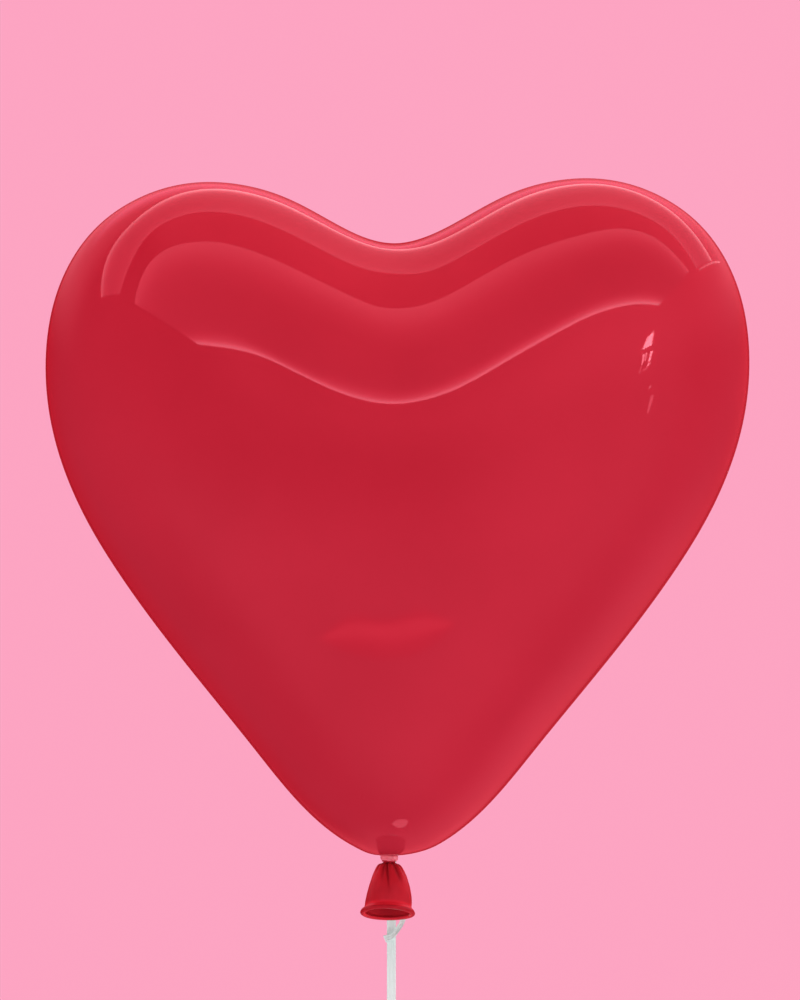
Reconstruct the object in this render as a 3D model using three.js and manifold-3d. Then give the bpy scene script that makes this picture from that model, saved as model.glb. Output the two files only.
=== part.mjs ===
// Heart-shaped latex balloon, tied at its neck with a white ribbon.
// Millimetres, +Z up, +X to the viewer's right, the viewer looks along +Y.
// The origin is the centre of the tied neck, where the ribbon holds the balloon.
import * as THREE from "three";
import { mergeVertices } from "three/addons/utils/BufferGeometryUtils.js";
import Module from "manifold-3d";

const wasm = await Module();
wasm.setup();

// Clearances and meshing
const gap = 0.3; // between pieces that touch on the real balloon
const weld = 1e-4; // vertices closer than this are one
const fullTurn = 2 * Math.PI;

// Heart: the blown-up skin
const heartWidth = 390; // across both lobes
const heartDepth = 206; // front to back at the widest level
const cleftHeight = 339.9; // from the lowest point of the skin to the bottom of the cleft
const lobeLift = 0.756; // slope that the top skin climbs away from the cleft
const cleftRadius = 25.3; // how wide the bottom of the cleft is rounded
const cleftShift = -2.1; // the cleft lies a little left of the middle
const lobeGrip = 2.2; // how fast the climb dies out down the body
const roundReach = 120; // height over which the round tip becomes the flattened body
const skinWall = 0.8; // stands in for a film of about 0.06 mm
const tipShift = 2.8; // the tip sits a little right of the neck
const heartLean = 0.0065; // and the body leans right with height
const lobeTilt = -0.0035; // slope between the two lobes, beside what the shifted cleft gives
const heartSides = 60; // facets round the body
const heartRows = 30; // facets from tip to cleft

// Half outline of the body before the lobes are drawn up, from the tip to the cleft,
// in shares of the half width and of the cleft height.
const bodyOutline = [
  [0, 0],
  [0.068, 0.0045],
  [0.143, 0.0243],
  [0.242, 0.069],
  [0.404, 0.1745],
  [0.608, 0.306],
  [0.794, 0.422],
  [0.932, 0.5245],
  [0.99, 0.601],
  [1.001, 0.66],
  [0.982, 0.7175],
  [0.898, 0.797],
  [0.762, 0.866],
  [0.6, 0.924],
  [0.45, 0.9636],
  [0.292, 0.99],
  [0.132, 0.997],
  [0, 1],
];

// Neck: the stub of skin that the ribbon squeezes
const neckRadius = 4.0;
const neckBore = 0.8; // radius of the passage left in the squeezed folds
const neckFacets = 32;

// Winding: the ribbon, bunched to a strand, wound round the neck
const strand = 0.6; // diameter of the bunched strand
const windingPitch = 1.05;
const windingTurns = 2;
const stepsPerTurn = 24;
const strandSides = 6;

// Tail: the loose skirt of skin below the tie, ending in a rolled rim
const tailLength = 26.4; // from the neck stub to the edge that meets the rolled rim
const tailWall = 0.9;
const shoulderDrop = 0.9; // slant of the tail's top, which lets it bend at the tie
const skirtRadius = 12.8; // where the skirt meets the rolled rim
const tailTilt = THREE.MathUtils.degToRad(15); // the mouth points a little to the viewer
const tailLean = THREE.MathUtils.degToRad(1.6); // and a little to the left
const bendLength = 12; // length of tail that takes up the tilt
const pleats = 9; // folds squeezed in by the tie
const pleatDepth = 0.1; // of the local radius, at their deepest
const pleatReach = 4.5; // distance below the tie where they are deepest
const tailSides = 54;
const skirtRows = 12; // facets down its length

// Skirt outline below the shoulder, in shares of the length and of the skirt radius.
const skirtOutline = [
  [0.075, 0.5],
  [0.16, 0.65],
  [0.33, 0.765],
  [0.55, 0.905],
  [0.77, 0.97],
  [0.92, 0.985],
  [1, 1],
];

// Rolled rim: the lip of the mouth, rolled up on itself
const rimRadius = 13.4; // from the tail's centre line to the middle of the roll
const rollRadius = 1.6;
const rollLap = 0.2; // step that the free edge of the roll leaves
const rollFacets = 12;

// Ribbon
const ribbonWidth = 5;
const ribbonThickness = 0.4; // stands in for film of about 0.15 mm
const ribbonShift = 1.2; // the run hangs a little right of the neck
const runTop = 1.0; // height at which the run leaves the knot
const runBottom = -84; // just below the edge of the photograph
const runSteps = 34;
const shortEndWidth = 2.8; // the free end is seen curled lengthwise
const shortEndSteps = 20;

// Knots
const knotRadius = 1.5; // of the knot's middle ring
const knotStrand = 0.42; // radius of the strand in it
const endKnotRadius = 2.4;
const endKnotStrand = 0.6;

// Hand loop under the end knot
const loopLength = 28;
const loopHalfWidth = 7;
const loopSteps = 36;

// Places worked out from the sizes above
const windingHeight = windingTurns * windingPitch + strand;
const neckBottom = -windingHeight / 2 - gap;
const heartBottom = windingHeight / 2 + gap;
const windingRadius = neckRadius + gap + strand / 2;
const knotReach = 1.5 * knotRadius + knotStrand; // outer radius of the knot
const knotHalfDepth = 0.5 * knotRadius + knotStrand;
const knotY = windingRadius + strand / 2 + gap + knotHalfDepth;
const ribbonY = knotY + knotHalfDepth + gap + ribbonThickness / 2;
const rimDrop = tailLength + gap + rollRadius; // along the tail's centre line
const endKnotReach = 1.5 * endKnotRadius + endKnotStrand;
const endKnotZ = runBottom - gap - endKnotReach;
const loopTop = endKnotZ - endKnotReach - gap;

const latex = () =>
  new THREE.MeshStandardMaterial({ color: 0xbe2233, roughness: 0.18, metalness: 0 });
const ribbonFilm = () =>
  new THREE.MeshStandardMaterial({ color: 0xdcdedd, roughness: 0.42, metalness: 0 });

// A geometry as a solid, with its seams welded and its collapsed triangles left out.
function solidOf(geometry) {
  const bare = new THREE.BufferGeometry();
  bare.setAttribute("position", geometry.getAttribute("position"));
  bare.setIndex(geometry.index);
  const welded = mergeVertices(bare, weld);
  const corners = welded.index.array;
  const triangles = [];
  for (let i = 0; i < corners.length; i += 3) {
    const [a, b, c] = [corners[i], corners[i + 1], corners[i + 2]];
    if (a !== b && b !== c && c !== a) triangles.push(a, b, c);
  }
  return new wasm.Manifold(
    new wasm.Mesh({
      numProp: 3,
      vertProperties: welded.getAttribute("position").array,
      triVerts: new Uint32Array(triangles),
    }),
  );
}

function geometryOf(solid) {
  const mesh = solid.getMesh();
  const geometry = new THREE.BufferGeometry();
  geometry.setAttribute("position", new THREE.BufferAttribute(mesh.vertProperties, mesh.numProp));
  geometry.setIndex(new THREE.BufferAttribute(mesh.triVerts, 1));
  geometry.computeVertexNormals();
  return geometry;
}

function named(name, geometry, material) {
  const mesh = new THREE.Mesh(geometry, material);
  mesh.name = name;
  return mesh;
}

// A surface of revolution about Z from [radius, height] pairs listed from the bottom up.
function turned(profile, sides) {
  const points = profile.map(([radius, height]) => new THREE.Vector2(radius, height));
  return new THREE.LatheGeometry(points, sides).rotateX(Math.PI / 2);
}

// Moves every vertex of a geometry by a function from Vector3 to Vector3.
function reshape(geometry, move) {
  const position = geometry.getAttribute("position");
  const vertex = new THREE.Vector3();
  for (let i = 0; i < position.count; i++) {
    vertex.fromBufferAttribute(position, i);
    const moved = move(vertex);
    position.setXYZ(i, moved.x, moved.y, moved.z);
  }
  return geometry;
}

// A strip or tube of constant section along a curve.
function swept(section, curve, steps) {
  return new THREE.ExtrudeGeometry(new THREE.Shape(section), {
    steps,
    bevelEnabled: false,
    extrudePath: curve,
  });
}

// Section of a flat ribbon with softened corners, first side along the frame's normal.
function flatSection(along, across) {
  const corner = Math.min(along, across) / 4;
  const points = [];
  for (const [sx, sy] of [[1, 1], [-1, 1], [-1, -1], [1, -1]]) {
    const side = new THREE.Vector2(sx * (along / 2), sy * (across / 2 - corner));
    const end = new THREE.Vector2(sx * (along / 2 - corner), sy * (across / 2));
    points.push(...(sx * sy > 0 ? [side, end] : [end, side]));
  }
  return points;
}

function roundSection(radius, sides) {
  return Array.from({ length: sides }, (_, i) => {
    const turn = (i / sides) * fullTurn;
    return new THREE.Vector2(radius * Math.cos(turn), radius * Math.sin(turn));
  });
}

// An upright round solid on the Z axis.
function upright(radius, bottom, top) {
  const round = new THREE.CylinderGeometry(radius, radius, top - bottom, neckFacets);
  return solidOf(round.rotateX(Math.PI / 2).translate(0, 0, (bottom + top) / 2));
}

// The body of revolution is flattened, rounder at its tip, and its top skin is drawn up
// on either side of the cleft, which makes the two lobes and the valley between them.
function heartShape(vertex) {
  const height = Math.max(vertex.z, 0);
  const flat = heartDepth / heartWidth;
  const roundness = Math.exp(-((height / roundReach) ** 2));
  const bottom = Math.hypot(cleftShift, cleftRadius);
  const climb = lobeLift * (Math.hypot(vertex.x - cleftShift, cleftRadius) - bottom);
  const share = (height / cleftHeight) ** lobeGrip;
  const z = vertex.z + climb * share;
  return new THREE.Vector3(
    vertex.x + tipShift + heartLean * z,
    vertex.y * (flat + (1 - flat) * roundness),
    z + lobeTilt * vertex.x * share + heartBottom,
  );
}

// The skin: the heart's shell and its neck stub, open through the squeezed folds.
function heartSkin() {
  const outline = new THREE.SplineCurve(
    bodyOutline.map(([r, h]) => new THREE.Vector2((r * heartWidth) / 2, h * cleftHeight)),
  );
  const profile = outline.getSpacedPoints(heartRows).map((p) => [Math.max(p.x, 0), p.y]);
  const outside = reshape(turned(profile, heartSides), heartShape);
  const skin = solidOf(outside);
  const inside = geometryOf(skin);
  const normals = inside.getAttribute("normal").clone();
  const inward = new THREE.Vector3();
  let index = 0;
  reshape(inside, (vertex) => {
    inward.fromBufferAttribute(normals, index);
    index += 1;
    return vertex.clone().addScaledVector(inward, -skinWall);
  });
  const stubTop = heartBottom + skinWall + neckRadius / 2;
  const overrun = neckRadius; // length by which the passage's cut passes the stub's ends
  const shell = skin.subtract(solidOf(inside));
  const stub = upright(neckRadius, neckBottom, stubTop);
  const passage = upright(neckBore, neckBottom - overrun, stubTop + overrun);
  return geometryOf(shell.add(stub).subtract(passage));
}

// The ribbon round the neck: a helix whose ends run straight for one strand diameter.
class NeckHelix extends THREE.Curve {
  getPoint(share, target = new THREE.Vector3()) {
    const turnLength = Math.hypot(fullTurn * windingRadius, windingPitch);
    const helixLength = windingTurns * turnLength;
    const along = share * (helixLength + 2 * strand) - strand;
    const clamped = Math.min(Math.max(along, 0), helixLength);
    const angle = (clamped / turnLength) * fullTurn + Math.PI / 2;
    const over = along - clamped;
    const height = windingPitch * windingTurns * (clamped / helixLength - 0.5);
    return target.set(
      windingRadius * Math.cos(angle) - over * Math.sin(angle),
      windingRadius * Math.sin(angle) + over * Math.cos(angle),
      -height,
    );
  }
}

// Least gap between turns of a strand, measured on its centre points a quarter turn apart.
function leastGap(curve, steps, diameter) {
  const points = curve.getSpacedPoints(steps);
  const apart = stepsPerTurn / 4;
  let least = Infinity;
  for (let i = 0; i < points.length; i++) {
    for (let j = i + apart; j < points.length; j++) {
      least = Math.min(least, points[i].distanceTo(points[j]) - diameter);
    }
  }
  return least;
}

function neckWinding() {
  const helix = new NeckHelix();
  const steps = windingTurns * stepsPerTurn + 2;
  console.log("winding, least gap between turns: " + leastGap(helix, steps, strand).toFixed(2) + " mm");
  return swept(roundSection(strand / 2, strandSides), helix, steps);
}

// Bends the straight tail: its centre line follows an arc, then runs straight, and leans left.
function bendTail(vertex) {
  const along = neckBottom - vertex.z;
  const bent = Math.min(Math.max(along / bendLength, 0), 1);
  const angle = tailTilt * bent;
  const arc = bendLength / tailTilt;
  const straight = along - bendLength * bent;
  const drop = arc * Math.sin(angle) + straight * Math.cos(angle) + vertex.y * Math.sin(angle);
  return new THREE.Vector3(
    vertex.x * Math.cos(tailLean) - drop * Math.sin(tailLean),
    -arc * (1 - Math.cos(angle)) - straight * Math.sin(angle) + vertex.y * Math.cos(angle),
    neckBottom - drop * Math.cos(tailLean) - vertex.x * Math.sin(tailLean),
  );
}

// Folds that the tie squeezes into the skirt, fading out before the rim.
function pleated(vertex) {
  const along = (neckBottom - vertex.z) / pleatReach;
  const turn = Math.atan2(vertex.y, vertex.x);
  const swell = pleatDepth * along * Math.exp(1 - along);
  const factor = 1 + swell * Math.cos(pleats * turn + Math.sin(2 * turn));
  return new THREE.Vector3(vertex.x * factor, vertex.y * factor, vertex.z);
}

function tailSkirt() {
  const top = neckBottom - gap;
  const outer = new THREE.SplineCurve([
    new THREE.Vector2(neckRadius, top - shoulderDrop),
    ...skirtOutline.map(([l, r]) => new THREE.Vector2(r * skirtRadius, neckBottom - l * tailLength)),
  ]).getPoints(skirtRows);
  const inner = outer.slice(2).map((p) => new THREE.Vector2(p.x - tailWall, p.y));
  const ring = [
    ...outer.reverse().map((p) => [p.x, p.y]),
    [neckBore, top],
    [neckBore, top - shoulderDrop],
    ...inner.map((p) => [p.x, p.y]),
  ];
  ring.push(ring[0]);
  return reshape(turned(ring, tailSides), (vertex) => bendTail(pleated(vertex)));
}

function rolledRim() {
  const ring = Array.from({ length: rollFacets + 1 }, (_, i) => {
    const turn = (i / rollFacets) * fullTurn;
    const radius = rollRadius - (rollLap * i) / rollFacets;
    return [rimRadius + radius * Math.sin(turn), neckBottom - rimDrop + radius * Math.cos(turn)];
  });
  ring.push(ring[0]);
  return reshape(turned(ring.reverse(), tailSides), bendTail);
}

// An overhand knot, drawn tight, facing front to back.
function knot(radius, strandRadius, x, y, z) {
  return new THREE.TorusKnotGeometry(radius, strandRadius, 60, 8, 2, 3)
    .rotateX(Math.PI / 2)
    .translate(x, y, z);
}

// The run leaves the knot, leans on the back of the tail and hangs plumb from there.
function ribbonRun(hangY) {
  const route = new THREE.CatmullRomCurve3([
    new THREE.Vector3(ribbonShift, ribbonY, runTop),
    new THREE.Vector3(ribbonShift, ribbonY, -1),
    new THREE.Vector3(ribbonShift, (ribbonY + hangY) / 2 + 0.15, -3.6),
    new THREE.Vector3(ribbonShift, hangY, -7),
    new THREE.Vector3(ribbonShift, hangY, -12),
    new THREE.Vector3(ribbonShift, hangY, -22),
    new THREE.Vector3(ribbonShift, hangY, -34),
    new THREE.Vector3(ribbonShift, hangY, -46),
    new THREE.Vector3(ribbonShift, hangY, -58),
    new THREE.Vector3(ribbonShift, hangY, -71),
    new THREE.Vector3(ribbonShift, hangY, runBottom),
  ]);
  return swept(flatSection(ribbonWidth, ribbonThickness), route, runSteps);
}

// The free end starts behind the run, passes behind the rim and crosses in front of the run.
function ribbonShortEnd(hangY) {
  const start = ribbonY + ribbonThickness + gap;
  const route = new THREE.CatmullRomCurve3([
    new THREE.Vector3(ribbonShift, start, 0.4),
    new THREE.Vector3(1.6, start + 0.1, -1.4),
    new THREE.Vector3(3.0, hangY + 0.6, -4.6),
    new THREE.Vector3(5.4, hangY + 0.8, -9),
    new THREE.Vector3(8.0, hangY + 0.6, -16),
    new THREE.Vector3(9.0, hangY + 0.3, -24),
    new THREE.Vector3(8.5, hangY, -31.5),
    new THREE.Vector3(6.6, hangY - 0.5, -37),
    new THREE.Vector3(3.6, hangY - 1.4, -41.4),
    new THREE.Vector3(0.4, hangY - 1.7, -44.2),
    new THREE.Vector3(-2.6, hangY - 1.3, -45.4),
  ]);
  return swept(flatSection(ribbonThickness, shortEndWidth), route, shortEndSteps);
}

function handLoop(hangY) {
  const apart = ribbonThickness + gap;
  const route = new THREE.CatmullRomCurve3([
    new THREE.Vector3(apart, 0, loopTop),
    new THREE.Vector3(loopHalfWidth * 0.6, 0, loopTop - loopLength * 0.3),
    new THREE.Vector3(loopHalfWidth, 0, loopTop - loopLength * 0.65),
    new THREE.Vector3(loopHalfWidth * 0.6, 0, loopTop - loopLength * 0.93),
    new THREE.Vector3(0, 0, loopTop - loopLength),
    new THREE.Vector3(-loopHalfWidth * 0.6, 0, loopTop - loopLength * 0.93),
    new THREE.Vector3(-loopHalfWidth, 0, loopTop - loopLength * 0.65),
    new THREE.Vector3(-loopHalfWidth * 0.6, 0, loopTop - loopLength * 0.3),
    new THREE.Vector3(-apart, 0, loopTop),
  ]);
  const strip = swept(flatSection(ribbonWidth, ribbonThickness), route, loopSteps);
  return strip.translate(ribbonShift, hangY, 0);
}

// How far back a geometry reaches.
function backOf(geometry) {
  geometry.computeBoundingBox();
  return geometry.boundingBox.max.y;
}

const skirt = tailSkirt();
const rim = rolledRim();
const hangY = Math.max(ribbonY, Math.max(backOf(skirt), backOf(rim)) + gap + ribbonThickness / 2);
console.log("the ribbon hangs at y = " + hangY.toFixed(2) + " mm, from a knot at y = " + ribbonY.toFixed(2));

const balloon = new THREE.Group();
balloon.name = "heart_balloon";
balloon.add(
  named("heart_skin", heartSkin(), latex()),
  named("tail_skirt", skirt, latex()),
  named("rolled_rim", rim, latex()),
  named("neck_winding", neckWinding(), ribbonFilm()),
  named("neck_knot", knot(knotRadius, knotStrand, ribbonShift, knotY, 0), ribbonFilm()),
  named("ribbon_run", ribbonRun(hangY), ribbonFilm()),
  named("ribbon_short_end", ribbonShortEnd(hangY), ribbonFilm()),
  named("end_knot", knot(endKnotRadius, endKnotStrand, ribbonShift, hangY, endKnotZ), ribbonFilm()),
  named("hand_loop", handLoop(hangY), ribbonFilm()),
);

export default balloon;
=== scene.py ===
"""Dresses a heart-shaped latex balloon that is tied at its neck with curling ribbon.

Sizes are in millimetres, as in the model's source, and turn to metres when a mesh is made.
The studio's own sizes and places are in metres.
The row frame has +Z up, +X to the viewer's right, and the viewer looks along +Y.
"""

import logging
import math
from dataclasses import dataclass
from enum import Enum

import bpy
import numpy as np
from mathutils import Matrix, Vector


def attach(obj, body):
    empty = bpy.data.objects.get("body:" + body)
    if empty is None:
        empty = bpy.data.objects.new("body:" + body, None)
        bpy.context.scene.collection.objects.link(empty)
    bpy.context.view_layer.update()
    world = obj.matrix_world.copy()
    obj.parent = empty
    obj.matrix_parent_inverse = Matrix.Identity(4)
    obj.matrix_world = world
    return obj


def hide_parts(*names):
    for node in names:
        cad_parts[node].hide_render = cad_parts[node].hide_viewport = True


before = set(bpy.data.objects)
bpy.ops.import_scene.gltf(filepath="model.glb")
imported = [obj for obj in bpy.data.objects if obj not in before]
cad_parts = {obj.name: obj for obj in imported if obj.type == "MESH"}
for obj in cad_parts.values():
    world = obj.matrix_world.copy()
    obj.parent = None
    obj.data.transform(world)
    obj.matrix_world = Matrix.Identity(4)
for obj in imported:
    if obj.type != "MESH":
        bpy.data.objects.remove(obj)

log = logging.getLogger("heart_balloon")

MM = 0.001
FULL_TURN = 2 * math.pi
Point = tuple[float, float, float]
Points = tuple[Point, ...]
Pair = tuple[float, float]
Pairs = tuple[Pair, ...]
Stops = tuple[tuple[float, str], ...]
Colour = tuple[float, float, float, float]
Tree = bpy.types.NodeTree
Socket = bpy.types.NodeSocket
Material = bpy.types.Material
Piece = bpy.types.Object
Faces = list[tuple[int, ...]]
Rows = np.ndarray


class Slot(Enum):
    """Material slots of the record."""

    LATEX = "red_latex"
    RIBBON = "white_ribbon"


class Body(Enum):
    """Rigid bodies of the record that the pieces ride on."""

    BALLOON = "balloon"
    TAIL = "tail"
    KNOT = "knot"
    RIBBON = "ribbon"


# Colours and shader nodes


def linear(hex_colour: str) -> Colour:
    """Turns an sRGB hex colour to linear light.

    Args:
        hex_colour: six hex digits after a hash sign.

    Returns:
        Red, green, blue and an alpha of 1.
    """
    channels = [int(hex_colour[i : i + 2], 16) / 255 for i in (1, 3, 5)]
    lit = [c / 12.92 if c <= 0.04045 else ((c + 0.055) / 1.055) ** 2.4 for c in channels]
    return (lit[0], lit[1], lit[2], 1.0)


def add_node(tree: Tree, kind: str, inputs: dict | None = None, **settings: object) -> bpy.types.Node:
    """Adds one node to a tree, sets it up and feeds its inputs.

    Args:
        tree: the node tree.
        kind: the node's type name, without the ShaderNode that all begin with.
        inputs: what its input sockets take, by name or index: a constant, or another
            node's socket, which is linked to it.
        settings: attributes of the node.

    Returns:
        The new node.
    """
    node = tree.nodes.new("ShaderNode" + kind)
    for name, value in settings.items():
        setattr(node, name, value)
    for name, value in (inputs or {}).items():
        if isinstance(value, Socket):
            tree.links.new(value, node.inputs[name])
        else:
            node.inputs[name].default_value = value
    return node


@dataclass(frozen=True)
class Finish:
    """What all finishes share: a name, and a surface that the material shows."""

    name: str = ""

    def make(self) -> Material:
        """Builds the material.

        Returns:
            The new material.
        """
        material = bpy.data.materials.new(self.name)
        material.use_nodes = True
        tree = material.node_tree
        tree.nodes.clear()
        add_node(tree, "OutputMaterial", {"Surface": self.surface(tree)})
        return material

    def surface(self, tree: Tree) -> Socket:
        """Stands for the nodes that each finish adds in its own way."""
        raise NotImplementedError


@dataclass(frozen=True)
class Grain:
    """An uneven pattern of a real size, and the relief that it gives the surface, if any."""

    size_mm: float
    detail: float = 2.0
    fineness: float = 0.5
    strength: float = 0.0
    depth_mm: float = 0.0


@dataclass(frozen=True)
class FilmFinish(Finish):
    """What latex and ribbon share: a smooth film whose colour, gloss and relief are uneven.

    The colour follows the first grain through its stops, which give a share and a colour
    each. The gloss follows the grain that dulled_by numbers.
    """

    ior: float = 1.5
    roughness: float = 0.3
    clearest: float = 0.8
    dullest: float = 1.3
    mirror_level: float = 0.5
    mirror_tint: Colour = (1.0, 1.0, 1.0, 1.0)
    stretch: Point = (1.0, 1.0, 1.0)
    grains: tuple[Grain, ...] = ()
    dulled_by: int = 0
    stops: Stops = ()

    def tone(self, tree: Tree, pattern: Socket) -> Socket:
        """What the colour follows: the first grain itself."""
        return pattern

    def surface(self, tree: Tree) -> Socket:
        """Adds the film's nodes.

        Args:
            tree: the material's nodes.

        Returns:
            The shader's output.
        """
        place = add_node(tree, "TexCoord").outputs["Object"]
        drawn = add_node(tree, "Mapping", {"Vector": place, "Scale": self.stretch}).outputs["Vector"]
        patterns, relief = [], {}
        for grain in self.grains:
            size = 1 / (grain.size_mm * MM)
            noise = {"Vector": drawn, "Scale": size, "Detail": grain.detail, "Roughness": grain.fineness}
            patterns.append(add_node(tree, "TexNoise", noise).outputs["Fac"])
            if grain.depth_mm:
                bump = {"Height": patterns[-1], "Strength": grain.strength, "Distance": grain.depth_mm * MM}
                relief = {"Normal": add_node(tree, "Bump", relief | bump).outputs["Normal"]}
        ramp = add_node(tree, "ValToRGB", {"Fac": self.tone(tree, patterns[0])})
        elements = ramp.color_ramp.elements
        while len(elements) < len(self.stops):
            elements.new(1.0)
        for element, (share, colour) in zip(elements, self.stops):
            element.position = share
            element.color = linear(colour)
        haze = {
            "Value": patterns[self.dulled_by],
            "To Min": self.roughness * self.clearest,
            "To Max": self.roughness * self.dullest,
        }
        film = relief | {
            "Base Color": ramp.outputs["Color"],
            "Roughness": add_node(tree, "MapRange", haze).outputs["Result"],
            "Metallic": 0.0,
            "IOR": self.ior,
            "Specular IOR Level": self.mirror_level,
            "Specular Tint": self.mirror_tint,
        }
        return add_node(tree, "BsdfPrincipled", film).outputs["BSDF"]


@dataclass(frozen=True)
class DippedLatex(FilmFinish):
    """Natural rubber latex film, dipped on a polished former and blown tight.

    It gives the eye a deep saturated red with crisp, mirror-like reflections that are
    faintly wavy, because the film stretches unevenly. Its grains are the clouds of thick and
    thin film, the slow ripple and a fine peel.
    """

    name: str = "dipped_latex_film"
    ior: float = 1.52
    roughness: float = 0.035
    mirror_tint: Colour = (1.0, 0.26, 0.35, 1.0)
    grains: tuple[Grain, ...] = (
        Grain(90.0, 3.0),
        Grain(55.0, 1.0, 0.4, 1.0, 0.06),
        Grain(1.6, 2.0, 0.5, 0.05, 0.02),
    )
    stops: Stops = ((0.3, "#B52437"), (0.7, "#BB273B"))


@dataclass(frozen=True)
class GatheredLatex(FilmFinish):
    """The same latex, unstretched and so thicker and duller, squeezed into folds at the tie.

    It gives the eye a darker red with satin highlights. Its colour holds painted light near
    the tie and above the lip, and painted shade in the creases, on the lip and inside the
    mouth. Its grain is its wrinkles.
    """

    name: str = "gathered_latex_painted_light_and_shade"
    ior: float = 1.52
    mirror_level: float = 0.3
    mirror_tint: Colour = (1.0, 0.2, 0.32, 1.0)
    stretch: Point = (1.0, 1.0, 0.25)
    grains: tuple[Grain, ...] = (Grain(2.2, 3.0, 0.5, 0.7, 0.12),)
    # Stops: painted light where the tie pulls and above the lip, the latex's own red, and painted shade in
    # the creases, on the lip and in the mouth.
    stops: Stops = ((0.0, "#D02433"), (0.35, "#B21F2C"), (0.95, "#86121C"))
    blotch: float = 0.24

    def tone(self, tree: Tree, pattern: Socket) -> Socket:
        """What the colour follows: the fold level of painted light and shade, a little blotched.

        Args:
            tree: the material's nodes.
            pattern: the wrinkles.

        Returns:
            A level from 0, painted light near the tie and above the lip, to 1, painted shade deep in a
            fold.
        """
        # The fold attribute is painted light and painted shade, set on each corner by the tail.
        fold = add_node(tree, "Attribute", attribute_name="fold").outputs["Fac"]
        blotches = {0: pattern, 1: self.blotch, 2: -self.blotch / 2}
        uneven = add_node(tree, "Math", blotches, operation="MULTIPLY_ADD").outputs["Value"]
        level = add_node(tree, "Math", {0: fold, 1: uneven}, operation="ADD", use_clamp=True)
        return level.outputs["Value"]


@dataclass(frozen=True)
class CurlingRibbon(FilmFinish):
    """Extruded polypropylene curling ribbon, milky white, pulled over a blade.

    It gives the eye a cool white satin band with fine ribs and faint streaks along it. Its
    grains are the streaks and the blade's scratches.
    """

    name: str = "extruded_polypropylene_ribbon"
    ior: float = 1.49
    roughness: float = 0.38
    clearest: float = 0.75
    dullest: float = 1.35
    stretch: Point = (1.0, 1.0, 0.06)
    grains: tuple[Grain, ...] = (Grain(1.3), Grain(0.5, 2.0, 0.5, 0.4, 0.04))
    dulled_by: int = 1
    stops: Stops = ((0.35, "#CFE3E1"), (0.6, "#DAEEEC"))


@dataclass(frozen=True)
class StretchedRibbon(FilmFinish):
    """The ribbon where it is drawn thin round the neck, so that the red latex shows through.

    It gives the eye a salmon pink band with paler pleats, its grain, that run round it.
    """

    name: str = "stretched_ribbon_over_latex"
    ior: float = 1.49
    roughness: float = 0.36
    mirror_level: float = 0.3
    stretch: Point = (0.3, 0.3, 1.0)
    grains: tuple[Grain, ...] = (Grain(0.9, 3.0, 0.5, 0.6, 0.05),)
    stops: Stops = ((0.38, "#E7687C"), (0.68, "#EC8595"))


@dataclass(frozen=True)
class StudioPaper(Finish):
    """Seamless background paper, matt, fibrous and evenly lit, in the photograph's pale pink."""

    name: str = "seamless_paper"
    colour: str = "#FEA5C3"
    glow: float = 0.99
    roughness: float = 0.95
    fibre: Grain = Grain(4.0, 2.0, 0.5, 0.1, 0.1)

    def surface(self, tree: Tree) -> Socket:
        """Adds the paper's nodes.

        Args:
            tree: the material's nodes.

        Returns:
            The shader's output.
        """
        place = add_node(tree, "TexCoord").outputs["Object"]
        noise = {"Vector": place, "Scale": 1 / (self.fibre.size_mm * MM), "Detail": self.fibre.detail}
        height = add_node(tree, "TexNoise", noise).outputs["Fac"]
        relief = {"Height": height, "Strength": self.fibre.strength, "Distance": self.fibre.depth_mm * MM}
        lit = linear(self.colour)
        paper = {
            "Base Color": (*(channel * (1 - self.glow) for channel in lit[:3]), 1.0),
            "Roughness": self.roughness,
            "Specular IOR Level": 0.0,
            "Emission Color": lit,
            "Emission Strength": self.glow,
            "Normal": add_node(tree, "Bump", relief).outputs["Normal"],
        }
        return add_node(tree, "BsdfPrincipled", paper).outputs["BSDF"]


@dataclass(frozen=True)
class DiffusionCloth(Finish):
    """Diffusion cloth lit from behind, which the film mirrors as soft-edged bands.

    Where it is weakly lit it takes up the pink of the room, and where it is strongly lit it
    is white.
    """

    name: str = "diffusion_cloth"
    dim_colour: Colour = (1.4, 0.5, 0.62, 1.0)
    lit_colour: Colour = (1.0, 1.0, 1.0, 1.0)
    dim_level: float = 1.5
    lit_level: float = 7.0

    def surface(self, tree: Tree) -> Socket:
        """Adds the lit cloth's nodes.

        Args:
            tree: the material's nodes.

        Returns:
            The light that it gives.
        """
        glow = add_node(tree, "Attribute", attribute_name="glow").outputs["Fac"]
        span = {"Value": glow, "From Min": self.dim_level, "From Max": self.lit_level}
        share = add_node(tree, "MapRange", span).outputs["Result"]
        tints = {0: share, 6: self.dim_colour, 7: self.lit_colour}
        colour = add_node(tree, "Mix", tints, data_type="RGBA").outputs[2]
        return add_node(tree, "Emission", {"Color": colour, "Strength": glow}).outputs["Emission"]


# Curves and meshes

FINE_STEPS = 40


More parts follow.
